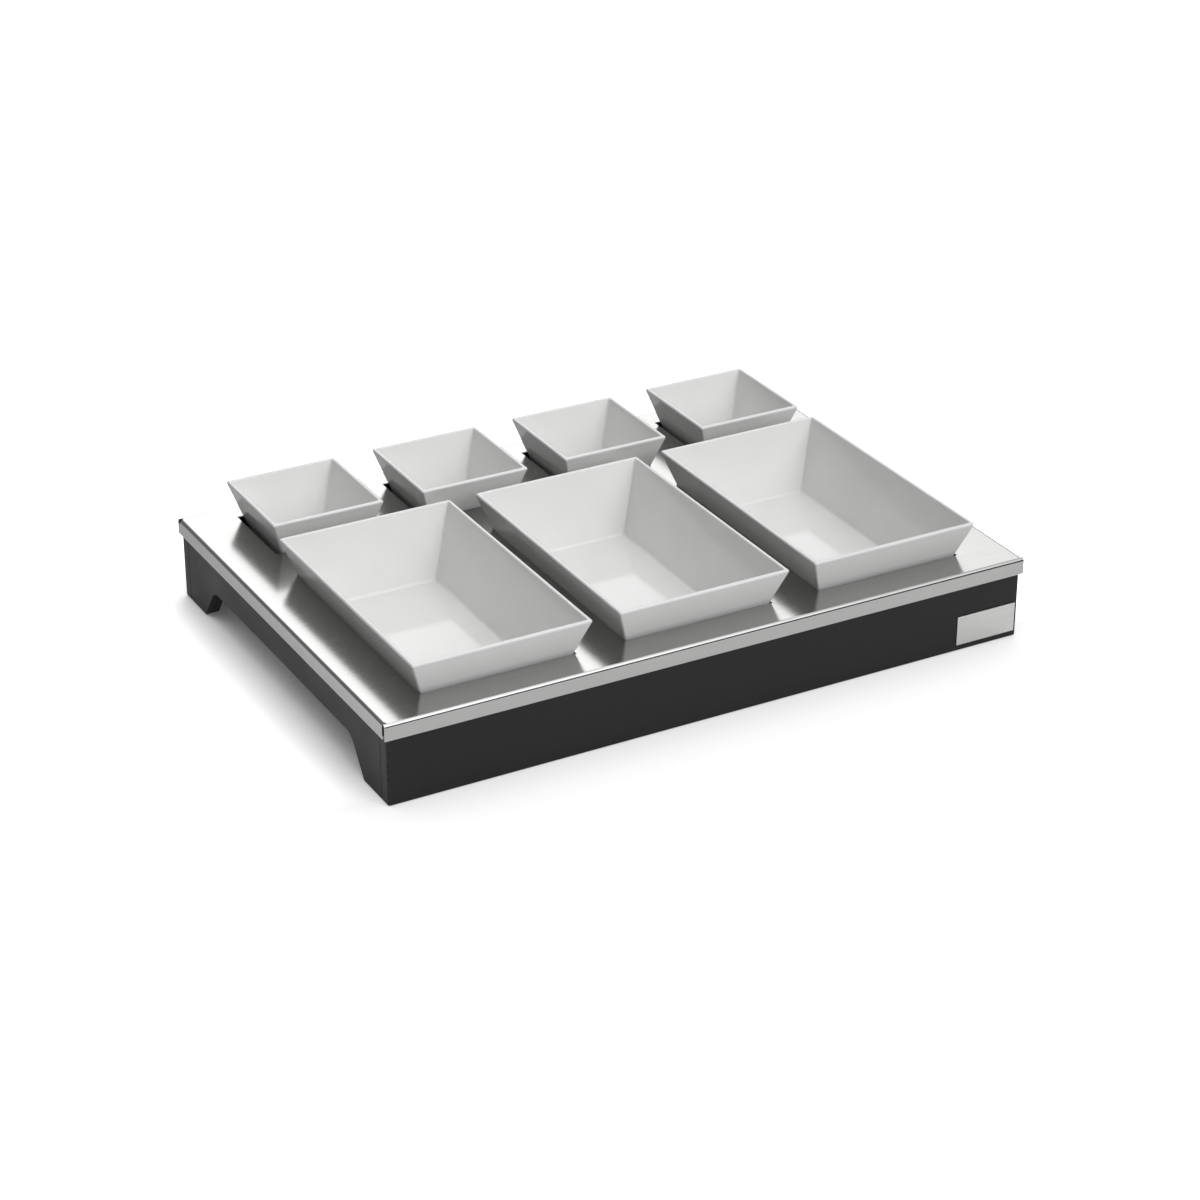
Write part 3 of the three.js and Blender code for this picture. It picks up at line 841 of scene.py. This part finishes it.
def sharp_edges(bm):
    """The edges at which the surface turns."""
    bm.normal_update()
    return [edge for edge in bm.edges if edge.is_manifold and edge.calc_face_angle() > SHARP]


print("boards are eased where they turn by", round(math.degrees(SHARP)), "degrees")

# %% Long boards
BOARD_CORNER = 2 * MM
BOARD_EASE = 0.6 * MM

for node, outer in (("front_panel", 0), ("rear_panel", 1)):
    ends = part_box(node)
    outer_y = ends[outer].y
    bm = board(*ends)
    outside = [e for e in bm.edges if all(abs(v.co.y - outer_y) < TINY for v in e.verts)]
    upright = [e for e in outside if abs(e.verts[0].co.z - e.verts[1].co.z) > BOARD_CORNER]
    ease(bm, upright, BOARD_CORNER, segments=5)
    ease(bm, sharp_edges(bm), BOARD_EASE)
    even_shading(finish_piece(node, bm, lacquer))

# %% [markdown]
# ## The arched ends
# Each end board has an arch cut up between two feet, which makes room for hands. It could be a
# board with a shape subtracted. It is simpler to draw the outline once, round the arch's two
# corners as vertices, and extrude the face to the thickness of the board. The housing for the rail
# is cut into the inner side.

# %% Outline of an end board
FOOT_LENGTH = 44 * MM
ARCH_HEIGHT = 31 * MM
ARCH_SLANT = 22 * MM
ARCH_CORNER = 14 * MM
ARCH_SEGMENTS = 10


def end_outline(lo, hi, x):
    """The end board as one upright face at x, with its arch."""
    bm = bmesh.new()
    bm.faces.layers.float.new("eased")
    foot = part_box("rear_panel")[1].y - FOOT_LENGTH
    shoulder = foot - ARCH_SLANT
    outline = [(lo.y, lo.z), (-foot, lo.z), (-shoulder, ARCH_HEIGHT), (shoulder, ARCH_HEIGHT),
               (foot, lo.z), (hi.y, lo.z), (hi.y, hi.z), (lo.y, hi.z)]
    verts = [bm.verts.new((x, y, z)) for y, z in outline]
    bm.faces.new(verts)
    rise = math.atan2(ARCH_HEIGHT - lo.z, ARCH_SLANT)
    bmesh.ops.bevel(bm, geom=verts[2:4], offset=ARCH_CORNER * math.tan(rise / 2),
                    segments=ARCH_SEGMENTS, profile=0.5, affect="VERTICES", material=-1)
    return bm


print("arch", ARCH_HEIGHT / MM, "mm high")


# %% Open the housing for the rail
def inside_cuts(face, low, high):
    """Whether a face lies between the two upright cuts of the housing."""
    ys = [v.co.y for v in face.verts]
    return low.y - TINY < min(ys) and max(ys) < high.y + TINY


def open_housing(bm, inner_x, deep_x, low, high, top):
    """Cuts the inner side and the top edge of an end board and takes the housing's faces out."""
    for y in (low.y, high.y):
        bm.normal_update()
        inner = [f for f in bm.faces if abs(f.calc_center_median().x - inner_x) < TINY]
        upper = [f for f in bm.faces if f.normal.z > FACING and f.verts[0].co.z > top - TINY]
        cut_faces(bm, inner + upper, (0, y, 0), (0, 1, 0))
    bm.normal_update()
    strip = [f for f in bm.faces if inside_cuts(f, low, high)]
    cut_faces(bm, [f for f in strip if abs(f.normal.x) > FACING], (0, 0, low.z), (0, 0, 1))
    upper = [f for f in strip if f.is_valid and f.normal.z > FACING]
    cut_faces(bm, upper, (deep_x, 0, 0), (1, 0, 0))
    middle_y = (low.y + high.y) / 2
    middles = (Vector((inner_x, middle_y, (low.z + top) / 2)),
               Vector(((inner_x + deep_x) / 2, middle_y, top)))
    for middle in middles:
        pocket = [f for f in bm.faces if (f.calc_center_median() - middle).length < TINY]
        bmesh.ops.delete(bm, geom=pocket, context="FACES")


print("housings can be opened")


# %% Line the housing
def line_housing(bm, inner_x, deep_x, low, high, top):
    """Closes the opened housing with its back, its floor and its two sides."""
    middle_y = (low.y + high.y) / 2
    middle_z = (low.z + top) / 2
    back_top = edge_at(bm, Vector((deep_x, middle_y, top)))
    pull(bm, [back_top], (0, 0, low.z - top))
    for y, z in ((middle_y, low.z), (low.y, middle_z), (high.y, middle_z)):
        pair = [edge_at(bm, Vector((x, y, z))) for x in (inner_x, deep_x)]
        bmesh.ops.contextual_create(bm, geom=pair)
    bmesh.ops.recalc_face_normals(bm, faces=bm.faces)


print("housings can be lined")

# %% End boards
HOUSING_GAP = 0.3 * MM

rail_lo, rail_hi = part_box("cover_rail")
gap = Vector((HOUSING_GAP, HOUSING_GAP, HOUSING_GAP))
room_lo = rail_lo - gap
room_hi = rail_hi + gap
for node in ("left_end_panel", "right_end_panel"):
    lo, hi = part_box(node)
    inner_x, outer_x, deep_x = (lo.x, hi.x, room_hi.x) if lo.x > 0 else (hi.x, lo.x, room_lo.x)
    bm = end_outline(lo, hi, inner_x)
    made = bmesh.ops.extrude_face_region(bm, geom=bm.faces[:])["geom"]
    moved = [item for item in made if isinstance(item, bmesh.types.BMVert)]
    bmesh.ops.translate(bm, verts=moved, vec=(outer_x - inner_x, 0, 0))
    bmesh.ops.recalc_face_normals(bm, faces=bm.faces)
    open_housing(bm, inner_x, deep_x, room_lo, room_hi, hi.z)
    line_housing(bm, inner_x, deep_x, room_lo, room_hi, hi.z)
    housing = {v for v in bm.verts if room_lo.y - TINY < v.co.y < room_hi.y + TINY}
    ease(bm, [e for e in sharp_edges(bm) if not housing.issuperset(e.verts)], BOARD_EASE)
    even_shading(finish_piece(node, bm, lacquer))

# %% [markdown]
# ## The rail and the corner blocks
# The rail lies under the sheet between the two rows and is let into the end boards. The blocks
# hold the boards square from the inside. All are plain pieces of wood and could stay as they were
# sawn. What makes them real is small: broken edges, and in the blocks the countersunk holes that
# the screws sit in.

# %% Rail
RAIL_EASE = 1 * MM

bm = board(rail_lo, rail_hi)
ease(bm, sharp_edges(bm), RAIL_EASE)
even_shading(finish_piece("cover_rail", bm, lacquer))


# %% Find a screw
def screw_axis(node):
    """The middle of a screw's head and the direction in which it was driven."""
    lo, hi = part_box(node)
    middle = (lo + hi) / 2
    size = hi - lo
    axis = 0 if size.x > size.y else 1
    direction = Vector((0, 0, 0))
    direction[axis] = math.copysign(1, middle[axis])
    return middle - direction * size[axis] / 2, direction


def stand_at(head, upwards):
    """The matrix that puts a thing made upright at the origin on a screw's head."""
    return Matrix.Translation(head) @ upwards.to_track_quat("Z", "Y").to_matrix().to_4x4()


print("a screw's head is at", in_mm([screw_axis("corner_screw_front_left_end")[0]]))

# %% Countersink the blocks
BLOCK_EASE = 1 * MM
HEAD_RADIUS = 4 * MM
HEAD_DEPTH = 2.4 * MM
SHANK_RADIUS = 2 * MM
HOLE_PLAY = 0.3 * MM
SCREW_SEGMENTS = 24
CORNERS = ("front_left", "front_right", "rear_left", "rear_right")
SCREW_SIDES = ("_end", "_long")


def countersink(bm, head, direction):
    """Opens a face round a screw and sinks a cone and a hole into it."""
    bm.normal_update()
    facing = [f for f in bm.faces if f.normal.dot(direction) < -FACING]
    face = max(facing, key=lambda f: f.calc_area())
    border = face.edges[:]
    bmesh.ops.delete(bm, geom=[face], context="FACES_ONLY")
    mouth = HEAD_RADIUS + HOLE_PLAY
    hole = SHANK_RADIUS + HOLE_PLAY
    circle = bmesh.ops.create_circle(bm, segments=SCREW_SEGMENTS, radius=mouth,
                                     matrix=stand_at(head, direction))
    ring = list(dict.fromkeys(edge for vert in circle["verts"] for edge in vert.link_edges))
    bmesh.ops.bridge_loops(bm, edges=border + ring)
    sunk = direction * HEAD_DEPTH
    ring, verts = pull(bm, ring, sunk)
    bmesh.ops.scale(bm, verts=verts, vec=[hole / mouth] * 3,
                    space=Matrix.Translation(-head - sunk))
    ring, _ = pull(bm, ring, sunk)
    bmesh.ops.edgeloop_fill(bm, edges=ring)


for corner in CORNERS:
    bm = board(*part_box("corner_block_" + corner))
    ease(bm, sharp_edges(bm), BLOCK_EASE)
    for side in SCREW_SIDES:
        countersink(bm, *screw_axis("corner_screw_" + corner + side))
    bmesh.ops.recalc_face_normals(bm, faces=bm.faces)
    even_shading(finish_piece("corner_block_" + corner, bm, lacquer))

# %% [markdown]
# ## The screws
# Each block is held by two countersunk cross-head screws. A cone and a cylinder could stand for
# one. Here the body is a half section spun about its axis, as on a lathe. The cross is built at
# its depth from five squares, its outline is pulled up to the face of the head, and the flat round
# it is filled out to the rim, so the recess is real geometry.

# %% Zinc
ZINCS = ((0.42, 0.42, 0.40, 1), (0.60, 0.60, 0.58, 1))
ZINC_GLOSS = (0.28, 0.48)

zinc, tree, shader = new_finish("zinc_plating")
place = own_place(tree)
spangle = add_node(tree, "TexVoronoi", {"Vector": place, "Scale": 900}).outputs["Distance"]
haze = noise(tree, place, scale=160, detail=3)
feed(tree, shader.inputs["Base Color"], blend_colours(tree, haze, *ZINCS))
feed(tree, shader.inputs["Roughness"], between(tree, haze, *ZINC_GLOSS))
roughen(tree, shader, spangle, strength=0.1, depth=0.03 * MM)
shader.inputs["Metallic"].default_value = 1
print("zinc nodes:", len(tree.nodes))

# %% Turn the body of a screw
SCREW_TIP = 4 * MM


def screw_body(bm, length):
    """The turned part of a screw, point down, and the open edges at the face of its head."""
    section = [(0, -length), (SHANK_RADIUS, SCREW_TIP - length),
               (SHANK_RADIUS, -HEAD_DEPTH), (HEAD_RADIUS, 0)]
    verts = [bm.verts.new((r, 0, z)) for r, z in section]
    edges = [bm.edges.new(pair) for pair in zip(verts, verts[1:])]
    bmesh.ops.spin(bm, geom=verts + edges, cent=(0, 0, 0), axis=(0, 0, 1), angle=2 * math.pi,
                   steps=SCREW_SEGMENTS, use_merge=True)
    bmesh.ops.remove_doubles(bm, verts=bm.verts, dist=TINY)
    return [edge for edge in bm.edges if edge.is_boundary]


print("shank", 2 * SHANK_RADIUS / MM, "mm thick")

# %% Cut the cross and drive the screws
CROSS_HALF = 0.6 * MM
CROSS_REACH = 1.9 * MM
CROSS_DEPTH = 1.4 * MM


def cross_recess(bm, rim):
    """The cross in the head: its floor, its walls, and the flat round it out to the rim."""
    known = set(bm.verts)
    middle = bmesh.ops.create_grid(bm, x_segments=1, y_segments=1, size=CROSS_HALF)["verts"]
    bmesh.ops.translate(bm, verts=middle, vec=(0, 0, -CROSS_DEPTH))
    for side in middle[0].link_faces[0].edges[:]:
        away = (side.verts[0].co + side.verts[1].co) / 2
        away.z = 0
        pull(bm, [side], away.normalized() * (CROSS_REACH - CROSS_HALF))
    outline = [e for e in bm.edges if e.is_boundary and known.isdisjoint(e.verts)]
    mouth, _ = pull(bm, outline, (0, 0, CROSS_DEPTH))
    bmesh.ops.triangle_fill(bm, use_beauty=True, use_dissolve=False, edges=mouth + rim,
                            normal=(0, 0, 1))


def make_screw(node):
    """One screw, driven into its block."""
    head, direction = screw_axis(node)
    lo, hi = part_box(node)
    bm = bmesh.new()
    cross_recess(bm, screw_body(bm, max(hi - lo)))
    bmesh.ops.recalc_face_normals(bm, faces=bm.faces)
    bmesh.ops.transform(bm, matrix=stand_at(head, -direction), verts=bm.verts)
    even_shading(finish_piece(node, bm, zinc))


for corner in CORNERS:
    for side in SCREW_SIDES:
        make_screw("corner_screw_" + corner + side)

# %% [markdown]
# ## The foot pads
# Thin rubber pads under the feet keep the stand from sliding. They could be flat slabs, but a
# moulded pad has round corners and soft edges, so they are cut like short boards and eased twice.
# Rubber is dull and slightly speckled by its filler, and takes up dust, so the tone varies.

# %% Rubber
RUBBERS = ((0.012, 0.012, 0.012, 1), (0.034, 0.034, 0.033, 1))
RUBBER_DULLNESS = (0.72, 0.92)

rubber, tree, shader = new_finish("pad_rubber")
place = own_place(tree)
filler = noise(tree, place, scale=1800, detail=2)
dust = noise(tree, place, scale=120, detail=4)
feed(tree, shader.inputs["Base Color"], blend_colours(tree, dust, *RUBBERS))
feed(tree, shader.inputs["Roughness"], between(tree, filler, *RUBBER_DULLNESS))
roughen(tree, shader, filler, strength=0.3, depth=0.05 * MM)
print("rubber nodes:", len(tree.nodes))

# %% Pads
PAD_CORNER = 1.5 * MM
PAD_EASE = 0.35 * MM

for corner in CORNERS:
    bm = board(*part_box("foot_pad_" + corner))
    upright = [e for e in bm.edges if abs(e.verts[0].co.z - e.verts[1].co.z) > TINY]
    ease(bm, upright, PAD_CORNER, segments=5)
    ease(bm, sharp_edges(bm), PAD_EASE, segments=2)
    even_shading(finish_piece("foot_pad_" + corner, bm, rubber))

# %% [markdown]
# ## The small plate
# A thin bare metal plate sits low at the right of the front board. It could be a plain box, but
# real plate is brushed along its length, and its edges are broken, so that they catch the light as
# a bright line all round. So it is cut like a board, with round corners and a small bevel at the
# front.

# %% Plate
PLATE_CORNER = 0.8 * MM
PLATE_EDGE = 0.3 * MM

plate_metal = brushed_metal("satin_plate", dark=(0.62, 0.62, 0.61, 1),
                            light=(0.72, 0.72, 0.71, 1), gloss=0.30, spread=0.10)
plate_lo, plate_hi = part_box("name_plate")
bm = board(plate_lo, plate_hi)
across = [e for e in bm.edges if abs(e.verts[0].co.y - e.verts[1].co.y) > TINY]
ease(bm, across, PLATE_CORNER, segments=4)
front = [e for e in sharp_edges(bm) if all(v.co.y < plate_lo.y + TINY for v in e.verts)]
ease(bm, front, PLATE_EDGE, segments=2)
unroll(bm, plate_hi.z)
even_shading(finish_piece("name_plate", bm, plate_metal))
